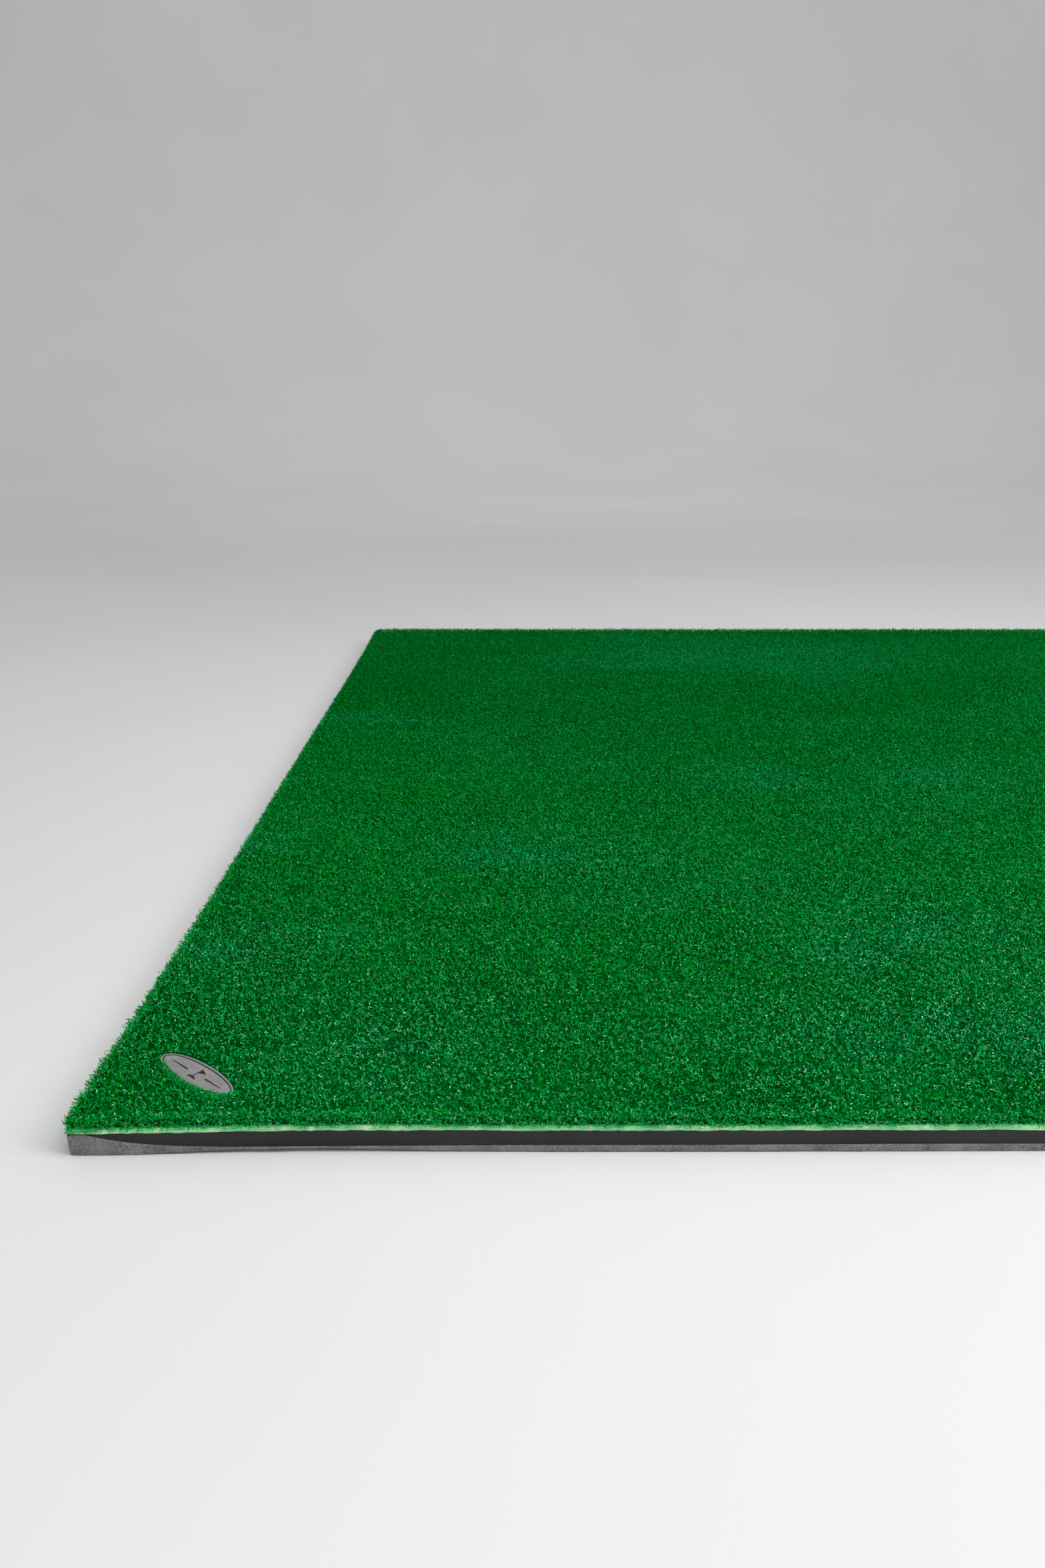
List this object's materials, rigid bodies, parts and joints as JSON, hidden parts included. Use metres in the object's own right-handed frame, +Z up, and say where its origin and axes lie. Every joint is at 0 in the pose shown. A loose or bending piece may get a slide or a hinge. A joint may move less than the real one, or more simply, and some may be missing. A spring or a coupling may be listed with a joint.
{
  "type": "golf hitting mat",
  "caption": "Square golf practice mat: crimped green turf on a woven, coated backing, glued to a black foam slab, with an oval badge sunk in the pile at a front corner.",
  "frame": {"origin": "centre of the mat, on the surface it lies on", "axes": "+Z up, front edge with the badge's corner toward -Y, badge's corner toward -X"},
  "size_m": [1.5, 1.5, 0.028],
  "materials": {
    "foam": "matte skin, smoother and darker where a knife has cut it",
    "glue": "dried contact adhesive",
    "coating": "matte latex coat",
    "backing": "woven tape cloth, pale at its cut edge",
    "pile": "glossy crimped plastic yarn",
    "plate": "satin, finely mottled",
    "print": "printed ink"
  },
  "bodies": {
    "root": {"foam_base": "foam", "glue_film": "glue", "latex_coating": "coating", "primary_backing": "backing", "turf_pile": "pile", "badge_glue_pad": "glue", "badge_plate": "plate", "badge_border_line": "print", "badge_flag_mark": "print", "badge_bar_left": "print", "badge_bar_right": "print"}
  },
  "joints": []
}
